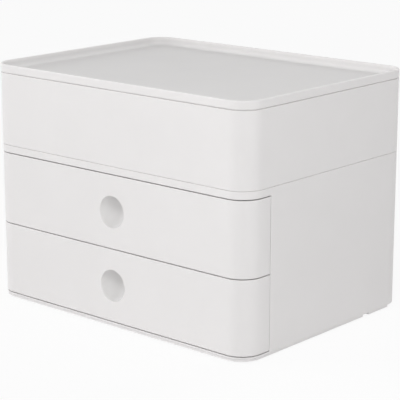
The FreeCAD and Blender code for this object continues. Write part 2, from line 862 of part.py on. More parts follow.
def screw(radius, length, head):
    """A screw along +Z with its head's face at z = 0; the shank ends in a blunt cone."""
    tip = radius
    shank = Part.makeCylinder(radius, length - tip)
    point = Part.makeCone(radius, radius / 3, tip, VECTOR(0, 0, length - tip))
    return head.fuse([shank, point]).removeSplitter()


def add_screws(name, solid, places, height):
    """One node of like screws: a copy of the solid at each place, all raised to the height."""
    feature = DOCUMENT.addObject("Part::Feature", name)
    feature.Label = name
    feature.Shape = Part.makeCompound([solid.translated(VECTOR(*place)) for place in places])
    feature.Placement = FreeCAD.Placement(VECTOR(0, 0, height.value), FreeCAD.Rotation())
    return feature


def build_base_screws():
    head_radius = S.base_head_radius.value
    shank_radius = S.base_screw_radius.value
    head = Part.makeCone(head_radius, shank_radius, head_radius - shank_radius)
    solid = screw(shank_radius, S.base_screw_length.value, head).cut(drive_cross(shank_radius))
    places = [(x.value, y.value, 0) for x, y in BASE_SCREWS]
    return add_screws("base_screws", solid, places, S.foot_drop + S.screw_clearance)


def build_front_screws(level):
    head_height = S.front_head_height.value
    head = Part.makeCylinder(S.front_head_radius.value, head_height)
    face_edges = [edge for edge in head.Edges if edge.BoundBox.ZMax < PLACE_TOLERANCE]
    head = head.makeChamfer(head_height / 4, face_edges)
    length = head_height + S.front_screw_length.value
    solid = screw(S.front_screw_radius.value, length, head).cut(drive_cross(S.front_screw_radius.value))
    solid = solid.rotated(VECTOR(0, 0, 0), VECTOR(1, 0, 0), 90)
    face = (TRAY_FRONT + S.tray_wall).value + head_height
    places = [(x.value, face, z.value) for x, z in FRONT_SCREWS]
    return add_screws(f"{level}_front_screws", solid, places, TRAY_BOTTOMS[level])


def check_features(parts):
    """Stops if a feature failed, a cut took nothing away or a part is not a sound solid."""
    for item in DOCUMENT.Objects:
        if "Invalid" in item.State or "Error" in item.State:
            raise RuntimeError(f"{item.Name} is in state {item.State}")
        if item.isDerivedFrom("PartDesign::Pocket") or item.isDerivedFrom("PartDesign::Groove"):
            removed = item.BaseFeature.Shape.Volume - item.Shape.Volume
            if removed < VOLUME_TOLERANCE:
                raise RuntimeError(f"{item.Name} cuts nothing")
    for part in parts:
        if part.Shape.isNull() or not part.Shape.isValid() or not part.Shape.Solids:
            raise RuntimeError(f"{part.Label} has no sound shape")


def main():
    parts = [build_housing(), build_base_plate(), build_shelf()]
    parts += [build_foot(corner) for corner in FOOT_PLACES]
    for level in ("upper", "lower"):
        parts += [build_drawer_tray(level), build_drawer_front(level), build_front_screws(level)]
    parts += [build_base_screws(), build_utensil_box(), build_lid()]
    DOCUMENT.recompute()
    check_features(parts)
    os.makedirs("parts", exist_ok=True)
    for part in parts:
        part.Shape.exportStep(f"parts/{part.Label}.step")
        print(part.Label, len(part.Shape.Solids), round(part.Shape.Volume, 1))


main()
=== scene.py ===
"""Looks of a desk file box: two drawers in a housing, a storage box on it and a lid with a tray.

Metres, in the frame's own axes: +X to the right, -Y out of the drawer fronts, +Z up. The drawer
fronts, the storage box and the lid are made here as fine surfaces. The other pieces keep the shapes
that the frame gives them.
"""

import math

import bpy
import numpy as np
from bpy.props import FloatProperty, FloatVectorProperty, PointerProperty
from bpy.types import Operator, Panel, PropertyGroup
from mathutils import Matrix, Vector


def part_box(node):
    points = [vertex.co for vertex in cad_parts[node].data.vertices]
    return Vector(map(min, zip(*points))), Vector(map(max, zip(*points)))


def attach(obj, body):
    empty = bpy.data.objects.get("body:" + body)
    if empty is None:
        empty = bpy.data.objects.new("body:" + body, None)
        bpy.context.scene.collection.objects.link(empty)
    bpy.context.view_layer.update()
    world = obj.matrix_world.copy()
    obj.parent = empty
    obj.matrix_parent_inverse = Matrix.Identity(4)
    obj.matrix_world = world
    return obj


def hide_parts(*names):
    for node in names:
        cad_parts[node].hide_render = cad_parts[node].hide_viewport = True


bl_info = {
    "name": "Desk file box",
    "version": (1, 0, 0),
    "blender": (4, 5, 0),
    "location": "3D View > Sidebar > File box",
    "description": "Dresses a desk file box with drawers, storage box and lid tray, and lights it",
    "category": "Object",
}

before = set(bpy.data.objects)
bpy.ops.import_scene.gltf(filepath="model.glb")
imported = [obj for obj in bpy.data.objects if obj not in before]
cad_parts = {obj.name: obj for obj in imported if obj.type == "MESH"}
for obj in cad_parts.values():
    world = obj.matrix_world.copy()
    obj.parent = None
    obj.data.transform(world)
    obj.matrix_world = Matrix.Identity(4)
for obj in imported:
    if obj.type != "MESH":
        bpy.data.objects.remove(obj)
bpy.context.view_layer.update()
MM = 0.001

# Places read from the frame
HOUSING_LOW, HOUSING_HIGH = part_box("housing_shell")
BOX_LOW, BOX_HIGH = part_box("utensil_box")
LID_LOW, LID_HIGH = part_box("lid_tray")
FRONTS = {level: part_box(f"{level}_drawer_front") for level in ("upper", "lower")}
TRAYS = {level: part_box(f"{level}_drawer_tray") for level in ("upper", "lower")}
HALF_WIDTH = HOUSING_HIGH.x
FRONT_PLANE = HOUSING_LOW.y
REAR_PLANE = HOUSING_HIGH.y

# Steps of the surfaces: round an upright corner, round an edge, round a wide fillet, across and up
# the opening of a grip, round its rim, from there to its pole, and round a screw boss
CORNER_STEPS = 28
ROUND_STEPS = 4
FILLET_STEPS = 14
GRIP_COLUMNS = 44
GRIP_ROWS = 32
GRIP_RIM_STEPS = 5
BOWL_STEPS = 20
BOSS_SIDES = 24
# Rings that lead from the square opening of a grip to its round mouth
BLEND_RINGS = 3
# Level webs in a drawer front, with equal spaces over, between and under them
WEBS = 2

# Arcs of a larger radius than this are wide fillets
WIDE_RADIUS = 1.5 * MM
# The flat strip beside an edge's arc, over which the worn edge fades out
EDGE_GUARD = 0.6 * MM
# A front's ends are rounded up to this turn. At 90 degrees its section's own arcs would be points
END_TURN = math.radians(80)
# How deep webs and bosses are sunk in the wall that they stand on
BURIED = 0.5 * MM
# Faces that meet at a larger angle are shaded with a sharp edge between them
SHARP_ANGLE = math.radians(35)
# The lid's tray lies between the gloss of the outside, 0, and the satin and painted shade (greyer
# colour) of the inside, 1
LID_SATIN_SHADE = 0.8

# Sockets that share their names with others of the same node, by their numbers
COLOUR_A, COLOUR_B, COLOUR_RESULT = 6, 7, 2
SHADER_A, SHADER_B = 1, 2

# Each lamp's azimuth from the front to the right and elevation, in degrees, then distance and side
LAMPS = {
    "front": (26, 42, 1.6, 0.6),
    "right": (72, 20, 1.6, 0.9),
    "left": (-58, 11, 5.0, 3.2),
    "rear": (180, 30, 5.0, 2.0),
}
# How far the floor reaches to each side, and how far the camera sees
FLOOR_REACH = 40.0
FAR_CLIP = 100.0
FLOOR_COLOUR = (0.88, 0.88, 0.88, 1)
# How much of the floor is seen as white; the rest keeps the shadow
FLOOR_SHINE = 0.9


class FileBoxSizes(PropertyGroup):
    """Sizes of the moulded pieces that the frame's boxes don't give."""

    corner_radius: FloatProperty(
        name="Corner radius",
        description="Upright corners of the stack",
        default=17.5 * MM,
        unit="LENGTH",
    )
    wall: FloatProperty(
        name="Wall",
        description="Wall of the fronts and the storage box",
        default=2.5 * MM,
        unit="LENGTH",
    )
    edge_round: FloatProperty(
        name="Edge rounding", description="Rounded outer edges", default=0.4 * MM, unit="LENGTH"
    )
    fine_round: FloatProperty(
        name="Fine rounding", description="Edges beside a gap", default=0.3 * MM, unit="LENGTH"
    )
    box_floor_rise: FloatProperty(
        name="Box floor rise",
        description="Hollow under the storage box",
        default=2.5 * MM,
        unit="LENGTH",
    )
    box_floor: FloatProperty(
        name="Box floor",
        description="Thickness of the storage box's floor",
        default=2.0 * MM,
        unit="LENGTH",
    )
    box_floor_fillet: FloatProperty(
        name="Box floor fillet",
        description="Fillet round the box's floor",
        default=4.0 * MM,
        unit="LENGTH",
    )
    reveal_gap: FloatProperty(
        name="Reveal gap",
        description="Height of the line under the lid",
        default=0.5 * MM,
        unit="LENGTH",
    )
    reveal_depth: FloatProperty(
        name="Reveal depth",
        description="Depth of the line under the lid",
        default=1.1 * MM,
        unit="LENGTH",
    )
    seam_gap: FloatProperty(
        name="Seam gap",
        description="Height of the line under the box",
        default=0.18 * MM,
        unit="LENGTH",
    )
    seam_depth: FloatProperty(
        name="Seam depth",
        description="Depth of the line under the box",
        default=1.0 * MM,
        unit="LENGTH",
    )
    lid_rim: FloatProperty(
        name="Lid rim", description="Thickness of the lid's rim", default=2.0 * MM, unit="LENGTH"
    )
    lid_recess: FloatProperty(
        name="Lid recess",
        description="Depth of the tray in the lid",
        default=6.8 * MM,
        unit="LENGTH",
    )
    lid_recess_fillet: FloatProperty(
        name="Lid fillet",
        description="Fillet round the lid's tray",
        default=3.3 * MM,
        unit="LENGTH",
    )
    lid_plug_gap: FloatProperty(
        name="Lid plug gap", description="Play between lid and box", default=0.3 * MM, unit="LENGTH"
    )
    rim_round: FloatProperty(
        name="Rim rounding", description="Rounded edges of the rim", default=0.7 * MM, unit="LENGTH"
    )
    grip_radius: FloatProperty(
        name="Grip radius", description="Mouth of the sunken grip", default=12.5 * MM, unit="LENGTH"
    )
    grip_depth: FloatProperty(
        name="Grip depth", description="Depth of the sunken grip", default=11.0 * MM, unit="LENGTH"
    )
    grip_wall: FloatProperty(
        name="Grip wall", description="Wall behind the sunken grip", default=2.0 * MM, unit="LENGTH"
    )
    grip_rim_round: FloatProperty(
        name="Grip rim rounding",
        description="Edge of the grip's mouth",
        default=0.2 * MM,
        unit="LENGTH",
    )
    web_thickness: FloatProperty(
        name="Web thickness",
        description="Stiffening webs in a front",
        default=1.6 * MM,
        unit="LENGTH",
    )
    web_gap: FloatProperty(
        name="Web gap",
        description="Play between the webs and the tray",
        default=0.8 * MM,
        unit="LENGTH",
    )
    web_stop: FloatProperty(
        name="Web stop",
        description="Webs end this far from the middle",
        default=8.3 * MM,
        unit="LENGTH",
    )
    tray_corner_radius: FloatProperty(
        name="Tray corner radius",
        description="Upright corners of a tray",
        default=8.0 * MM,
        unit="LENGTH",
    )
    tray_side_gap: FloatProperty(
        name="Tray side gap",
        description="From the housing's wall to a tray",
        default=6.0 * MM,
        unit="LENGTH",
    )
    boss_radius: FloatProperty(
        name="Boss radius", description="Screw bosses of a front", default=3.0 * MM, unit="LENGTH"
    )
    boss_offset: FloatProperty(
        name="Boss offset",
        description="Bosses to each side of the grip",
        default=60.0 * MM,
        unit="LENGTH",
    )


class FileBoxFinish(PropertyGroup):
    """Colours and surface values of the finishes."""

    shell_colour: FloatVectorProperty(
        name="Shell",
        description="Glossy white mouldings",
        default=(0.816, 0.800, 0.797),
        subtype="COLOR",
    )
    # Satin colour of the inside, greyer than the shell: painted shade in the grips, the lid's tray
    # and other recesses
    inner_and_shade_colour: FloatVectorProperty(
        name="Inside",
        description="Satin white mouldings",
        default=(0.772, 0.762, 0.758),
        subtype="COLOR",
    )
    rubber_colour: FloatVectorProperty(
        name="Feet", description="Rubber of the feet", default=(0.25, 0.25, 0.26), subtype="COLOR"
    )
    steel_colour: FloatVectorProperty(
        name="Screws", description="Zinc-plated steel", default=(0.55, 0.56, 0.58), subtype="COLOR"
    )
    shell_roughness: FloatProperty(
        name="Shell roughness", description="Gloss of the outside", default=0.42, subtype="FACTOR"
    )
    inner_roughness: FloatProperty(
        name="Inside roughness", description="Satin of the inside", default=0.58, subtype="FACTOR"
    )


class FileBoxStudio(PropertyGroup):
    """Camera, lamps and surroundings."""

    azimuth: FloatProperty(
        name="Azimuth",
        description="Camera's turn from the front to the right",
        default=math.radians(41.281),
        subtype="ANGLE",
    )
    elevation: FloatProperty(
        name="Elevation",
        description="Camera's height above the horizon",
        default=math.radians(14.247),
        subtype="ANGLE",
    )
    distance: FloatProperty(
        name="Distance", description="Camera to its target", default=1.22582, unit="LENGTH"
    )
    target: FloatVectorProperty(
        name="Target", description="Point at the middle of the view", default=(0.00228, 0, 0.08203)
    )
    lens: FloatProperty(name="Lens", description="Focal length in millimetres", default=139.02)
    world_strength: FloatProperty(
        name="Surroundings", description="Even light all round", default=0.37
    )
    front_power: FloatProperty(
        name="Front lamp", description="Soft lamp at the front right", default=6.6
    )
    right_power: FloatProperty(name="Right lamp", description="Soft lamp at the right", default=5.2)
    left_power: FloatProperty(
        name="Left lamp", description="Far soft lamp at the front left", default=132
    )
    rear_power: FloatProperty(name="Rear lamp", description="Far soft lamp behind", default=45)


# Surfaces


def add_object(name, data):
    """Puts an object with the given mesh, lamp or camera into the scene, at the origin."""
    thing = bpy.data.objects.new(name, data)
    bpy.context.scene.collection.objects.link(thing)
    return thing


def corner_stations(x, y, first_angle):
    """Stations round a corner: the centre (x, y) stays, and the direction makes a quarter turn."""
    angles = np.radians(np.linspace(first_angle, first_angle + 90, CORNER_STEPS + 1))
    ones = np.ones(len(angles))
    return np.column_stack([ones * x, ones * y, np.cos(angles), np.sin(angles)])


def closed_outline(half_width, front, rear, radius):
    """Stations once round a rectangle with rounded corners, from the left side along the front.

    Each row is a centre and a unit direction. A point at an inset lies at
    centre + (radius - inset) * direction.
    """
    x = half_width - radius
    return np.vstack(
        [
            corner_stations(-x, front + radius, 180),
            corner_stations(x, front + radius, 270),
            corner_stations(x, rear - radius, 0),
            corner_stations(-x, rear - radius, 90),
        ]
    )


def rounded_profile(corners):
    """A run of straight lines whose corners are arcs, as rows of inset, height, edge and inside.

    Each corner is (inset, height, radius, inside shade). At a corner of radius r that turns by a,
    the arc leaves the line r * tan(a / 2) before the corner, and its points lie on the circle
    there. Edge is 1 on a convex arc, and 0 from a guard distance away or from a third of a shorter
    line, where the worn edge ends. Inside shade is 1 where the finish is that of the inside: satin,
    and greyer as a painted shade.
    """
    points = np.array([corner[:2] for corner in corners])
    radii = np.array([corner[2] for corner in corners])
    inside = [corner[3] for corner in corners]
    runs = np.diff(points, axis=0)
    lengths = np.linalg.norm(runs, axis=1)
    units = runs / lengths[:, None]
    turns = np.arccos(np.clip((units[:-1] * units[1:]).sum(axis=1), -1, 1))
    setbacks = np.zeros(len(points))
    setbacks[1:-1] = radii[1:-1] * np.tan(turns / 2)
    guards = np.minimum(EDGE_GUARD, (lengths - setbacks[:-1] - setbacks[1:]) / 3)
    rows = [(*points[0], 0.0, inside[0])]
    for number, (come, leave, turn) in enumerate(zip(units[:-1], units[1:], turns), start=1):
        radius = radii[number]
        if radius == 0:
            rows.append((*points[number], 0.0, inside[number]))
            continue
        side = (leave - math.cos(turn) * come) / math.sin(turn)
        start = points[number] - setbacks[number] * come
        convex = 1.0 if come[0] * leave[1] - come[1] * leave[0] < 0 else 0.0
        steps = FILLET_STEPS if radius > WIDE_RADIUS else ROUND_STEPS
        angles = np.linspace(0, turn, steps + 1)
        arc = start + radius * (np.outer(np.sin(angles), come) + np.outer(1 - np.cos(angles), side))
        rows.append((*(start - guards[number - 1] * come), 0.0, inside[number]))
        rows += [(*place, convex, inside[number]) for place in arc]
        rows.append((*(arc[-1] + guards[number] * leave), 0.0, inside[number]))
    rows.append((*points[-1], 0.0, inside[-1]))
    return np.array(rows)


def carry(stations, radius, inset, height):
    """Every profile point at each station: centre + (radius - inset) * direction, at its height."""
    centre, direction = stations[:, None, :2], stations[:, None, 2:4]
    inset, height = np.broadcast_arrays(*np.atleast_2d(inset, height))
    plan = centre + (radius - inset)[..., None] * direction
    level = np.broadcast_to(height[..., None], plan.shape[:2] + (1,))
    return np.concatenate([plan, level], axis=2)


def grid_faces(rows, columns, close_rows=False, close_columns=False):
    """Four-sided faces of a grid of points, joined end to end where asked."""
    index = np.arange(rows * columns).reshape(rows, columns)
    if close_rows:
        index = np.vstack([index, index[:1]])
    if close_columns:
        index = np.hstack([index, index[:, :1]])
    corners = [index[:-1, :-1], index[1:, :-1], index[1:, 1:], index[:-1, 1:]]
    return np.stack(corners, axis=-1).reshape(-1, 4)


class Surface:
    """Points and faces of a piece, with two values at each point: edge, for wear, and inside shade,
    for the satin finish and its painted shade.
    """

    def __init__(self):
        self.points = np.zeros((0, 3))
        self.values = np.zeros((0, 2))
        self.faces = []

    def add(self, points, faces, edge=0.0, inside=0.0):
        """Adds points, with faces numbered from the first of them, and returns its number."""
        first = len(self.points)
        shape = points.shape[:-1]
        values = np.stack([np.broadcast_to(value, shape) for value in (edge, inside)], axis=-1)
        self.points = np.vstack([self.points, points.reshape(-1, 3)])
        self.values = np.vstack([self.values, values.reshape(-1, 2)])
        self.faces += [[first + corner for corner in face] for face in faces]
        return first

    def make(self, name, material):
        """Makes the piece: a smooth mesh with sharp edges, and with the values as attributes."""
        mesh = bpy.data.meshes.new(name)
        mesh.from_pydata(self.points.tolist(), [], self.faces)
        for column, value in enumerate(("edge", "inside")):
            attribute = mesh.attributes.new(value, "FLOAT", "POINT")
            attribute.data.foreach_set("value", np.ascontiguousarray(self.values[:, column]))
        mesh.polygons.foreach_set("use_smooth", np.ones(len(mesh.polygons), bool))
        mesh.set_sharp_from_angle(angle=SHARP_ANGLE)
        mesh.materials.append(material)
        return add_object(name, mesh)


def closed_moulding(stations, radius, profile):
    """A moulding that is the same all round.

    Its profile, from the middle of the underside out and up to the middle of the floor, is carried
    once round the outline, and flat faces close its two innermost rings.
    """
    points = carry(stations, radius, profile[:, 0], profile[:, 1])
    rows, columns = points.shape[:2]
    ring = np.arange(rows) * columns
    faces = grid_faces(rows, columns, close_rows=True).tolist()
    faces += [ring[::-1].tolist(), (ring + columns - 1).tolist()]
    surface = Surface()
    surface.add(points, faces, profile[:, 2], profile[:, 3])
    return surface


def open_outline(half_width, front, end, radius):
    """Stations round the two front corners, from y = end on the left to y = end on the right."""
    x = half_width - radius
    corners = [corner_stations(-x, front + radius, 180), corner_stations(x, front + radius, 270)]
    return np.vstack([[-x, end, -1, 0], *corners, [x, end, 1, 0]])


# Where the rows of a grip begin in front_section: at the second point of the outer face, and at the
# second of the inner face, whose first ends the arcs over the top. Before it come the outer face's
# GRIP_ROWS + 3 points and the arcs' 2 * ROUND_STEPS + 1, which take in that first one
OUTER_GRIP = 1
INNER_GRIP = GRIP_ROWS + 2 * ROUND_STEPS + 4


def front_section(low, high, wall, radius):
    """The upright section of a drawer front, once round.

    It goes up the outer face, over the top, down the inner face and back underneath. A point is its
    arc's centre plus the radius times a direction that turns with the section, so each row is
    centre inset, centre height, direction inset, direction height, edge, inside.
    """
    bottom, top = low + radius, high - radius
    steps = np.linspace(bottom + EDGE_GUARD, top - EDGE_GUARD, GRIP_ROWS + 1)
    heights = np.concatenate([[bottom], steps, [top]])
    flat_edge = np.zeros(len(heights))
    flat_edge[[0, -1]] = 1

    def face(inset, levels, towards, inside):
        """Rows up or down a flat face."""
        ones = np.ones(len(levels))
        columns = [ones * inset, levels, ones * towards, ones * 0, flat_edge, ones * inside]
        return np.column_stack(columns)

    def arc(inset, level, first_angle):
        """Rows round an edge, a quarter turn from the first angle."""
        angles = np.radians(first_angle + np.linspace(0, 90, ROUND_STEPS + 1))
        ones = np.ones(len(angles))
        turn = [-np.cos(angles), np.sin(angles)]
        return np.column_stack([ones * inset, ones * level, *turn, ones, ones * 0])

    outer, inner = radius, wall - radius
    return np.vstack(
        [
            face(outer, heights, -1, 0),
            arc(outer, top, 0)[1:],
            arc(inner, top, 90),
            face(inner, heights[::-1], 1, 1)[1:],
            arc(inner, bottom, 180)[1:],
            arc(outer, bottom, 270)[:-1],
        ]
    )


def front_stations(half_width, front, end, radius, rounding, grip_reach):
    """Stations of a drawer front from its left to its right end, as centre, direction and shrink.

    Towards an end the section shrinks by rounding * (1 - cos t) while y nears the end by
    rounding * sin t, which rounds the upright edge there. Equal columns cross the middle, out to
    the grip's reach on each side.
    """
    outline = open_outline(half_width, front, end - rounding, radius)
    outline = np.column_stack([outline, np.zeros(len(outline))])
    turn = np.linspace(END_TURN, 0, ROUND_STEPS + 1)[:-1]
    left = np.tile(outline[0], (len(turn), 1))
    left[:, 1] += rounding * np.sin(turn)
    left[:, 4] = rounding * (1 - np.cos(turn))
    right = left[::-1] * [-1, 1, -1, 1, 1]
    columns = np.zeros((GRIP_COLUMNS + 1, 5))
    columns[:, 0] = np.linspace(-grip_reach, grip_reach, GRIP_COLUMNS + 1)
    columns[:, 1] = front + radius
    columns[:, 3] = -1
    middle = len(outline) // 2
    return np.vstack([left, outline[:middle], columns, outline[middle:], right])


def opening_loop(columns, rows_of, columns_of):
    """Numbers of the points round a rectangle of a grid: along, over, back and down again."""
    (first, last), (low, high) = rows_of, columns_of
    along, up = np.arange(first, last), np.arange(low, high)
    sides = [
        along * columns + low,
        last * columns + up,
        (first + last - along) * columns + high,
        first * columns + (low + high - up),
    ]
    return np.concatenate(sides)


def turned(axis_height, angles, radii, depths):
    """Rings round the line x = 0, z = axis_height: r cos a, depth, axis_height + r sin a."""
    radii, depths = np.atleast_1d(radii)[:, None], np.atleast_1d(depths)[:, None]
    across = radii * np.cos(angles)
    return np.stack([across, depths + 0 * across, axis_height + radii * np.sin(angles)], axis=-1)


def fill_round(surface, loop, axis_height, radii, depths, edge, inside):
    """Fills an opening with rings.

    The opening's own loop is drawn in step by step to the first circle. The other circles follow,
    and a pole at the last depth. Edge and inside shade have one value for each circle.
    """
    outer = surface.points[loop]
    angles = np.arctan2(outer[:, 2] - axis_height, outer[:, 0])
    circles = turned(axis_height, angles, radii, depths[:-1])
    shares = (np.arange(1, BLEND_RINGS + 1) / (BLEND_RINGS + 1))[:, None, None]
    between = (1 - shares) * outer + shares * circles[0]
    rings = np.concatenate([between, circles])
    edge = np.concatenate([np.zeros(len(between)), edge])[:, None]
    inside = np.concatenate([np.full(len(between), inside[0]), inside])[:, None]
    count, around = rings.shape[:2]
    faces = grid_faces(count, around, close_columns=True)[:, ::-1]
    first = surface.add(rings, faces.tolist(), edge, inside)
    pole = surface.add(np.array([[0, depths[-1], axis_height]]), [], 0.0, inside[-1])
    here, onward = np.arange(around), (np.arange(around) + 1) % around
    surface.faces += np.stack([loop, loop[onward], first + onward, first + here], axis=-1).tolist()
    last = first + (count - 1) * around
    surface.faces += np.stack([last + here, last + onward, np.full(around, pole)], axis=-1).tolist()


def ended_sweep(surface, points, edge=0.0, inside=0.0, leave_out=None):
    """Adds a closed section carried along an open path, with flat ends, less the faces left out."""
    rows, columns = points.shape[:2]
    faces = grid_faces(rows, columns, close_columns=True)
    if leave_out is not None:
        faces = faces[~leave_out.ravel()]
    start = np.arange(columns)
    ends = [start.tolist(), (start[::-1] + (rows - 1) * columns).tolist()]
    return surface.add(points, faces.tolist() + ends, edge, inside)


def grip_bowl(sizes):
    """The ball's radius and centre, then the bowl's rings from its rounded mouth to its pole.

    The mouth's arc touches the front plane, and the ball from outside. After it, a ring of the bowl
    lies at radius ball * sin t and at depth centre + ball * cos t.
    """
    ball = (sizes.grip_radius**2 + sizes.grip_depth**2) / (2 * sizes.grip_depth)
    centre = FRONT_PLANE + sizes.grip_depth - ball
    rim = sizes.grip_rim_round
    tilt = math.acos((FRONT_PLANE + rim - centre) / (ball + rim))
    arc = np.linspace(0, tilt, GRIP_RIM_STEPS + 1)
    sweep = np.linspace(tilt, 0, BOWL_STEPS + 1)[1:-1]
    mouth = (ball + rim) * math.sin(tilt)
    radii = np.concatenate([[mouth + EDGE_GUARD], mouth - rim * np.sin(arc), ball * np.sin(sweep)])
    depths = np.concatenate(
        [[FRONT_PLANE], FRONT_PLANE + rim * (1 - np.cos(arc)), centre + ball * np.cos(sweep)]
    )
    depths = np.append(depths, centre + ball)
    edge = np.concatenate([[0], np.ones(len(arc)), np.zeros(len(sweep))])
    # Past its rounded mouth the bowl is satin and takes the greyer inner colour, a painted shade in
    # the grip
    satin_shade = np.concatenate([np.zeros(1 + len(arc)), np.ones(len(sweep))])
    return ball, centre, radii, depths, edge, satin_shade


def drawer_front(level, sizes):
    """A front that wraps round both corners, with its sunken grip, its webs and its screw bosses.

    The section is carried from end to end. Faces are left out of both sides of the wall, where the
    bowl of the grip and the dome behind it go.
    """
    low, high = FRONTS[level][0].z, FRONTS[level][1].z
    end = FRONTS[level][1].y
    middle = (low + high) / 2
    rounding = sizes.edge_round
    reach = (high - low) / 2
    section = front_section(low, high, sizes.wall, rounding)
    stations = front_stations(HALF_WIDTH, FRONT_PLANE, end, sizes.corner_radius, rounding, reach)
    radius = rounding - stations[:, 4:5]
    inset = section[:, 0] + radius * section[:, 2]
    height = section[:, 1] + radius * section[:, 3]
    points = carry(stations, sizes.corner_radius, inset, height)

    rows, columns = points.shape[:2]
    first = (rows - GRIP_COLUMNS) // 2
    across = (first, first + GRIP_COLUMNS)
    outer = (OUTER_GRIP, OUTER_GRIP + GRIP_ROWS)
    inner = (INNER_GRIP, INNER_GRIP + GRIP_ROWS)
    leave_out = np.zeros((rows - 1, columns), bool)
    leave_out[slice(*across), slice(*outer)] = True
    leave_out[slice(*across), slice(*inner)] = True
    surface = Surface()
    ended_sweep(surface, points, section[:, 4], section[:, 5], leave_out)

    ball, centre, radii, depths, edge, satin_shade = grip_bowl(sizes)
    fill_round(surface, opening_loop(columns, across, outer), middle, radii, depths, edge, satin_shade)
    dome = ball + sizes.grip_wall
    lean = math.acos((FRONT_PLANE + sizes.wall - centre) / dome)
    sweep = np.linspace(lean, 0, BOWL_STEPS + 1)
    radii, depths = dome * np.sin(sweep[:-1]), centre + dome * np.cos(sweep)
    edge, satin_shade = np.zeros(len(radii)), np.ones(len(radii))
    fill_round(surface, opening_loop(columns, across, inner), middle, radii, depths, edge, satin_shade)
    add_webs(surface, level, sizes)
    add_bosses(surface, level, sizes)
    return surface


def add_webs(surface, level, sizes):
    """Level webs between a front's shell and its tray, the same way round both corners.

    Each runs from a line sunk in the shell's wall to a line beside the tray's outline, and ends in
    the wall of the grip.
    """
    low, high = FRONTS[level][0].z, FRONTS[level][1].z
    end = FRONTS[level][1].y
    shell = open_outline(HALF_WIDTH, FRONT_PLANE, end, sizes.corner_radius)
    tray_half = HALF_WIDTH - sizes.wall - sizes.tray_side_gap + sizes.web_gap
    tray_front = TRAYS[level][0].y - sizes.web_gap
    tray_radius = sizes.tray_corner_radius + sizes.web_gap
    tray = open_outline(tray_half, tray_front, end, tray_radius)
    free = (high - low - WEBS * sizes.web_thickness) / (WEBS + 1)
    middle = len(shell) // 2
    for number in range(WEBS):
        bottom = low + free * (number + 1) + sizes.web_thickness * number
        levels = np.array([bottom, bottom + sizes.web_thickness])
        outer = carry(shell, sizes.corner_radius, np.full(2, sizes.wall - BURIED), levels)
        inner = carry(tray, tray_radius, np.zeros(2), levels[::-1])
        web = np.concatenate([outer, inner], axis=1)
        for half, last in ((web[:middle], middle - 1), (web[middle:][::-1], middle)):
            stop = web[last].copy()
            stop[:, 0] = math.copysign(sizes.web_stop, stop[0, 0])
            stations = np.vstack([half, stop[None]])
            ended_sweep(surface, stations if last < middle else stations[::-1], 0.0, 1.0)


def add_bosses(surface, level, sizes):
    """Four round bosses from a front's shell to the face of its tray, centred on the screws.

    The box of the screws reaches past their centres by the radius of a head.
    """
    screws_low, screws_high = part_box(f"{level}_front_screws")
    angles = np.radians(np.arange(0, 360, 360 / BOSS_SIDES))
    head = (screws_high.x - screws_low.x) / 2 - sizes.boss_offset
    start, stop = FRONT_PLANE + sizes.wall - BURIED, TRAYS[level][0].y
    for height in (screws_low.z + head, screws_high.z - head):
        for side in (-1, 1):
            rings = turned(height, angles, [sizes.boss_radius] * 2, [start, stop])
            rings[..., 0] += side * sizes.boss_offset
            count = len(angles)
            faces = grid_faces(2, count, close_columns=True).tolist()
            faces += [list(range(count)), list(range(2 * count - 1, count - 1, -1))]
            surface.add(rings, faces, 0.0, 1.0)


def storage_box(sizes):
    """The storage box: hollow under its floor, with a stepped top for the line under the lid."""
    low, high = BOX_LOW.z, BOX_HIGH.z
    underside = low + sizes.box_floor_rise
    floor = underside + sizes.box_floor
    innermost = 2 * sizes.wall + sizes.box_floor_fillet
    profile = rounded_profile(
        [
            (innermost, underside, 0, 0),
            (sizes.wall, underside, 0, 0),
            (sizes.wall, low, sizes.fine_round, 0),
            (sizes.seam_depth, low, 0, 0),
            (sizes.seam_depth, low + sizes.seam_gap, 0, 0),
            (0, low + sizes.seam_gap, sizes.edge_round, 0),
            (0, high - sizes.reveal_gap, sizes.fine_round, 0),
            (sizes.reveal_depth, high - sizes.reveal_gap, 0, 0),
            (sizes.reveal_depth, high, sizes.fine_round / 2, 0),
            # The inside of the box is satin and takes the greyer inner colour, a painted shade
            (sizes.wall, high, sizes.fine_round, 1),
            (sizes.wall, floor, sizes.box_floor_fillet, 1),
            (innermost, floor, 0, 1),
        ]
    )
    outline = closed_outline(HALF_WIDTH, FRONT_PLANE, REAR_PLANE, sizes.corner_radius)
    return closed_moulding(outline, sizes.corner_radius, profile)


def lid_tray(sizes):
    """The lid: a plug that drops into the box, a skirt flush with its walls, a rim and a tray."""
    plug_low, rim_top, skirt_low = LID_LOW.z, LID_HIGH.z, BOX_HIGH.z
    plug = sizes.wall + sizes.lid_plug_gap
    floor = rim_top - sizes.lid_recess
    innermost = sizes.lid_rim + 2 * sizes.lid_recess_fillet
    profile = rounded_profile(
        [
            (innermost, plug_low, 0, 0),
            (plug, plug_low, sizes.fine_round, 0),
            (plug, skirt_low, 0, 0),
            (0, skirt_low, sizes.edge_round, 0),
            (0, rim_top, sizes.rim_round, 0),
            (sizes.lid_rim, rim_top, sizes.rim_round, 0),
            # The tray's wall and floor take the inside's satin and greyer colour, a painted shade
            (sizes.lid_rim, floor, sizes.lid_recess_fillet, LID_SATIN_SHADE),
            (innermost, floor, 0, LID_SATIN_SHADE),
        ]
    )
    outline = closed_outline(HALF_WIDTH, FRONT_PLANE, REAR_PLANE, sizes.corner_radius)
    return closed_moulding(outline, sizes.corner_radius, profile)


# Finishes


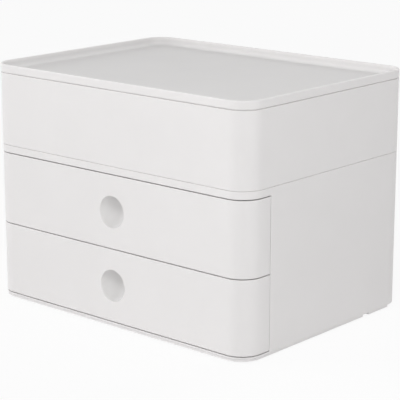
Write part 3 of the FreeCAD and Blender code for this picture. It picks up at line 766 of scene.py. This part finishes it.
class Value:
    """A node's output, on which Python's operators add Math nodes."""

    def __init__(self, nodes, socket):
        self.nodes = nodes
        self.socket = socket

    def math(self, operation, *operands):
        """A Math node on the operands, in the order of its sockets."""
        return self.nodes.add("ShaderNodeMath", {"operation": operation}, dict(enumerate(operands)))

    def beside(self, output):
        """Another output of the same node."""
        return Value(self.nodes, self.socket.node.outputs[output])

    def __add__(self, other):
        return self.math("ADD", self, other)

    def __sub__(self, other):
        return self.math("SUBTRACT", self, other)

    def __rsub__(self, other):
        return self.math("SUBTRACT", other, self)

    def __mul__(self, other):
        return self.math("MULTIPLY", self, other)

    __radd__ = __add__
    __rmul__ = __mul__

    def limited(self):
        """The value, held between 0 and 1."""
        return self.math("MINIMUM", self.math("MAXIMUM", self, 0.0), 1.0)


class Nodes:
    """The nodes of a material or of the world, around the one that it starts with."""

    def __init__(self, owner, first):
        owner.use_nodes = True
        self.tree = owner.node_tree
        self.shader = self.tree.nodes[first]

    def add(self, kind, settings=None, values=None, output=0):
        """Adds a node: its settings first, then the numbers, colours or links of its sockets."""
        node = self.tree.nodes.new(kind)
        for name, setting in (settings or {}).items():
            setattr(node, name, setting)
        for key, value in (values or {}).items():
            socket = node.inputs[key]
            if isinstance(value, Value):
                self.tree.links.new(value.socket, socket)
            else:
                socket.default_value = value
        return Value(self, node.outputs[output])

    def fix(self, constants):
        """Sets values of the first node that are the same all over."""
        for socket, value in constants.items():
            self.shader.inputs[socket].default_value = value

    def feed(self, socket, value):
        """Leads a value to the first node."""
        self.tree.links.new(value.socket, self.shader.inputs[socket])

    def seen(self):
        """1 where the camera, a mirror or glass looks, and 0 for the light on other surfaces."""
        camera = self.add("ShaderNodeLightPath", output="Is Camera Ray")
        mirror, glass = camera.beside("Is Glossy Ray"), camera.beside("Is Transmission Ray")
        return (camera + mirror + glass).limited()


class Finish(Nodes):
    """The material of a piece. Its patterns lie on the object's own coordinates."""

    def __init__(self, name, constants):
        self.material = bpy.data.materials.new(name)
        super().__init__(self.material, "Principled BSDF")
        self.fix(constants)
        self.place = self.add("ShaderNodeTexCoord", output="Object")

    def mark(self, name):
        """A value that the surfaces carry: edge, or inside shade for the satin and the painted
        shade. It is 0 on a piece without them.
        """
        return self.add("ShaderNodeAttribute", {"attribute_name": name}, output="Fac")

    def speckle(self, feature, detail=2.0, roughness=0.5, place=None):
        """Noise from 0 to 1 whose features are about the given size across, in metres."""
        values = {
            "Vector": place or self.place,
            "Scale": 1 / feature,
            "Detail": detail,
            "Roughness": roughness,
        }
        return self.add("ShaderNodeTexNoise", None, values)

    def patches(self, feature, level, steepness, **noise):
        """Patches of that noise: 0 up to a level, and from there up to 1 at the given steepness."""
        return ((self.speckle(feature, **noise) - level) * steepness).limited()

    def stretched(self, along, across, turn):
        """The object's coordinates drawn out along a level line at the given turn."""
        values = {"Vector": self.place, "Rotation": (0, 0, turn), "Scale": (across / along, 1, 1)}
        return self.add("ShaderNodeMapping", {"vector_type": "TEXTURE"}, values)

    def tinted(self, share, one, other):
        """A colour between two, each fixed or a node's, by a share from 0 to 1."""
        values = {"Factor": share, COLOUR_A: one, COLOUR_B: other}
        return self.add("ShaderNodeMix", {"data_type": "RGBA"}, values, COLOUR_RESULT)

    def shaded(self, share, colour, low, high):
        """A colour, made low times as bright at a share of 0 and high times as bright at 1."""
        one, other = ((*(channel * times for channel in colour), 1) for times in (low, high))
        return self.tinted(share, one, other)

    def bumps(self, *layers):
        """Bump nodes in a row, each from a height between 0 and 1 and its full height in metres."""
        normal = None
        for height, size in layers:
            values = {"Height": height, "Distance": size, "Strength": 1.0}
            if normal is not None:
                values["Normal"] = normal
            normal = self.add("ShaderNodeBump", None, values)
        self.feed("Normal", normal)


def moulded_white(name, colour, inner, gloss, grain):
    """White moulded plastic with faint clouds, smudges from hands, dust and brighter worn edges.

    Outside it is glossy, with the slight waves of a polished mould. Inner faces are satin and fine
    in
    grain, and a little greyer: a painted shade in the grips, the lid's tray and other recesses.
    """
    finish = Finish(name, {"IOR": 1.5, "Specular IOR Level": 0.3})
    inside, edge = finish.mark("inside"), finish.mark("edge")
    cloud = finish.speckle(45 * MM, detail=3.0)
    smudge = finish.patches(16 * MM, level=0.45, steepness=4, detail=4.0, roughness=0.6)
    dust = finish.patches(0.9 * MM, level=0.66, steepness=8)
    waves = finish.speckle(2.6 * MM, detail=1.0)
    fine = finish.speckle(0.45 * MM, roughness=0.6)
    tone = (cloud * 0.9 + edge * 0.35 - dust * 0.25).limited()
    outer = finish.shaded(tone, colour, 0.975, 1.02)
    # Inner faces take the greyer inner colour, a painted shade in the grips, the lid's tray and
    # other recesses
    finish.feed("Base Color", finish.tinted(inside, outer, finish.shaded(tone, inner, 0.97, 1.0)))
    rough = gloss + inside * (grain - gloss) + smudge * 0.05 + dust * 0.08 - edge * 0.05
    finish.feed("Roughness", rough.limited())
    finish.bumps((waves, 0.012 * MM), (fine * (inside * 0.8 + 0.2), 0.02 * MM))
    return finish.material


def satin_white(name, colour, grain):
    """White moulded plastic inside: an even satin grain, and faint scuffs along the depth."""
    finish = Finish(name, {"IOR": 1.5})
    cloud = finish.speckle(40 * MM, detail=3.0)
    fine = finish.speckle(0.5 * MM, roughness=0.6)
    along = finish.stretched(60 * MM, 1.2 * MM, math.pi / 2)
    scuff = finish.patches(1.2 * MM, level=0.68, steepness=9, detail=1.0, place=along)
    tone = (cloud - scuff * 0.3).limited()
    finish.feed("Base Color", finish.shaded(tone, colour, 0.97, 1.02))
    finish.feed("Roughness", (grain + cloud * 0.06 - scuff * 0.12).limited())
    finish.bumps((fine, 0.02 * MM), (1 - scuff, 0.006 * MM))
    return finish.material


def foot_rubber(name, colour):
    """Matt rubber: a fine pebbled surface, with a little pale dust picked up from the desk."""
    finish = Finish(name, {"IOR": 1.45, "Specular IOR Level": 0.3})
    pebbles = finish.speckle(0.35 * MM, detail=3.0, roughness=0.65)
    dust = finish.patches(1.4 * MM, level=0.55, steepness=6, detail=3.0)
    finish.feed("Base Color", finish.shaded(dust, colour, 1.0, 1.5))
    finish.feed("Roughness", (0.75 + dust * 0.15).limited())
    finish.bumps((pebbles, 0.05 * MM))
    return finish.material


def zinc_steel(name, colour):
    """Zinc-plated steel: metallic, with fine drawn streaks and dull spots."""
    finish = Finish(name, {"Metallic": 1.0})
    streaks = finish.speckle(0.15 * MM, place=finish.stretched(1.5 * MM, 0.15 * MM, 0))
    spots = finish.patches(0.7 * MM, level=0.5, steepness=5, detail=3.0)
    finish.feed("Base Color", finish.shaded(spots, colour, 1.0, 0.8))
    finish.feed("Roughness", (0.28 + spots * 0.15 + streaks * 0.1).limited())
    finish.bumps((streaks, 0.004 * MM))
    return finish.material


def dress_nodes(material, *names):
    """Gives a frame piece's own slots the material."""
    for name in names:
        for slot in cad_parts[name].material_slots:
            slot.material = material


def gloss_shell(finish):
    """The finish of the outer mouldings, made once."""
    name = "gloss_shell"
    colours = finish.shell_colour, finish.inner_and_shade_colour
    roughness = finish.shell_roughness, finish.inner_roughness
    return bpy.data.materials.get(name) or moulded_white(name, *colours, *roughness)


def satin_inside(finish):
    """The finish of the mouldings inside, made once."""
    name = "satin_inside"
    values = finish.inner_and_shade_colour, finish.inner_roughness
    return bpy.data.materials.get(name) or satin_white(name, *values)


def floor_paper():
    """A plain pale floor: it takes the object's shadow, and shines white towards the camera."""
    material = bpy.data.materials.new("floor_paper")
    paper = Nodes(material, "Principled BSDF")
    paper.fix({"Base Color": FLOOR_COLOUR, "Roughness": 0.9, "Specular IOR Level": 0.0})
    shine = paper.add("ShaderNodeEmission")
    matt = Value(paper, paper.shader.outputs["BSDF"])
    values = {"Fac": paper.seen() * FLOOR_SHINE, SHADER_A: matt, SHADER_B: shine}
    blend = paper.add("ShaderNodeMixShader", None, values)
    paper.tree.links.new(blend.socket, paper.tree.nodes["Material Output"].inputs["Surface"])
    return material


# Studio


def direction(azimuth, elevation):
    """The unit vector towards a place: azimuth turns from the front to the right, elevation up."""
    level = math.cos(elevation)
    return Vector((math.sin(azimuth) * level, -math.cos(azimuth) * level, math.sin(elevation)))


def look(thing, target, towards, distance):
    """Puts a camera or lamp at a distance from the target and turns it to face the target."""
    thing.location = Vector(target) + towards * distance
    thing.rotation_euler = towards.to_track_quat("Z", "Y").to_euler()


def add_camera(studio):
    """The camera, which looks at the target from the studio's distance and angles."""
    camera = add_object("camera", bpy.data.cameras.new("camera"))
    camera.data.lens = studio.lens
    camera.data.clip_end = FAR_CLIP
    look(camera, studio.target, direction(studio.azimuth, studio.elevation), studio.distance)
    bpy.context.scene.camera = camera


def add_lamp(name, target, azimuth, elevation, distance, size, power):
    """A square soft lamp that faces the target."""
    lamp = bpy.data.lights.new(name, "AREA")
    lamp.size = size
    lamp.energy = power
    towards = direction(math.radians(azimuth), math.radians(elevation))
    look(add_object(name, lamp), target, towards, distance)


def add_surroundings(strength):
    """Even light of the given strength all round, which the camera sees as white."""
    world = bpy.data.worlds.new("surroundings")
    backdrop = Nodes(world, "Background")
    backdrop.fix({"Color": (1, 1, 1, 1)})
    backdrop.feed("Strength", backdrop.seen() * (1 - strength) + strength)
    bpy.context.scene.world = world


def add_floor():
    """A flat square on which the feet stand, at height 0."""
    mesh = bpy.data.meshes.new("floor")
    signs = ((-1, -1), (1, -1), (1, 1), (-1, 1))
    mesh.from_pydata([(x * FLOOR_REACH, y * FLOOR_REACH, 0) for x, y in signs], [], [(0, 1, 2, 3)])
    mesh.materials.append(floor_paper())
    floor = add_object("floor", mesh)


# Operators


class FILEBOX_OT_housing(Operator):
    """Finish the housing, its base plate and the shelf between the drawers"""

    bl_idname = "filebox.housing"
    bl_label = "Housing"

    def execute(self, context):
        finish = context.scene.file_box_finish
        dress_nodes(gloss_shell(finish), "housing_shell", "base_plate")
        dress_nodes(satin_inside(finish), "middle_shelf")
        return {"FINISHED"}


class FILEBOX_OT_drawers(Operator):
    """Make both drawer fronts and finish their trays"""

    bl_idname = "filebox.drawers"
    bl_label = "Drawers"

    def execute(self, context):
        sizes, finish = context.scene.file_box_sizes, context.scene.file_box_finish
        for level in FRONTS:
            piece = drawer_front(level, sizes).make(f"{level}_front_shell", gloss_shell(finish))
            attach(piece, f"{level}_drawer")
            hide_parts(f"{level}_drawer_front")
            dress_nodes(satin_inside(finish), f"{level}_drawer_tray")
        return {"FINISHED"}


class FILEBOX_OT_storage_box(Operator):
    """Make the open storage box that stands on the housing"""

    bl_idname = "filebox.storage_box"
    bl_label = "Storage box"

    def execute(self, context):
        surface = storage_box(context.scene.file_box_sizes)
        piece = surface.make("storage_box_shell", gloss_shell(context.scene.file_box_finish))
        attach(piece, "storage_box")
        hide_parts("utensil_box")
        return {"FINISHED"}


class FILEBOX_OT_lid(Operator):
    """Make the lid with its shallow tray"""

    bl_idname = "filebox.lid"
    bl_label = "Lid"

    def execute(self, context):
        surface = lid_tray(context.scene.file_box_sizes)
        piece = surface.make("lid_shell", gloss_shell(context.scene.file_box_finish))
        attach(piece, "lid")
        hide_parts("lid_tray")
        return {"FINISHED"}


class FILEBOX_OT_fasteners(Operator):
    """Finish the rubber feet and the screws"""

    bl_idname = "filebox.fasteners"
    bl_label = "Feet and screws"

    def execute(self, context):
        finish = context.scene.file_box_finish
        rubber = foot_rubber("foot_rubber", finish.rubber_colour)
        steel = zinc_steel("zinc_steel", finish.steel_colour)
        feet = ("foot_front_left", "foot_front_right", "foot_rear_left", "foot_rear_right")
        dress_nodes(rubber, *feet)
        dress_nodes(steel, "base_screws", "upper_front_screws", "lower_front_screws")
        return {"FINISHED"}


class FILEBOX_OT_studio(Operator):
    """Add the floor, the soft light and the camera"""

    bl_idname = "filebox.studio"
    bl_label = "Studio"

    def execute(self, context):
        studio = context.scene.file_box_studio
        add_camera(studio)
        for name, place in LAMPS.items():
            add_lamp(f"{name}_lamp", studio.target, *place, getattr(studio, f"{name}_power"))
        add_surroundings(studio.world_strength)
        add_floor()
        context.scene.view_settings.view_transform = "Standard"
        return {"FINISHED"}


class FILEBOX_PT_sidebar(Panel):
    """The steps that build the file box, in order"""

    bl_label = "File box"
    bl_idname = "FILEBOX_PT_sidebar"
    bl_space_type = "VIEW_3D"
    bl_region_type = "UI"
    bl_category = "File box"

    def draw(self, context):
        """A button for each step, then the values that it reads."""
        for step in STEPS:
            self.layout.operator(step.bl_idname)
        for group in SETTINGS:
            settings = getattr(context.scene, group)
            column = self.layout.column(align=True)
            for name in settings.bl_rna.properties.keys():
                if name not in ("rna_type", "name"):
                    column.prop(settings, name)


STEPS = (
    FILEBOX_OT_housing,
    FILEBOX_OT_drawers,
    FILEBOX_OT_storage_box,
    FILEBOX_OT_lid,
    FILEBOX_OT_fasteners,
    FILEBOX_OT_studio,
)
SETTINGS = {
    "file_box_sizes": FileBoxSizes,
    "file_box_finish": FileBoxFinish,
    "file_box_studio": FileBoxStudio,
}


def register():
    """Registers the classes, and gives every scene its settings."""
    for item in (*SETTINGS.values(), *STEPS, FILEBOX_PT_sidebar):
        bpy.utils.register_class(item)
    for name, group in SETTINGS.items():
        setattr(bpy.types.Scene, name, PointerProperty(type=group))


def unregister():
    """Takes the settings and the classes away again."""
    for name in SETTINGS:
        delattr(bpy.types.Scene, name)
    for item in (FILEBOX_PT_sidebar, *reversed(STEPS), *reversed(SETTINGS.values())):
        bpy.utils.unregister_class(item)


def main():
    """Builds the file box step by step."""
    register()
    for step in STEPS:
        group, _, name = step.bl_idname.partition(".")
        getattr(getattr(bpy.ops, group), name)()


if __name__ == "__main__":
    main()
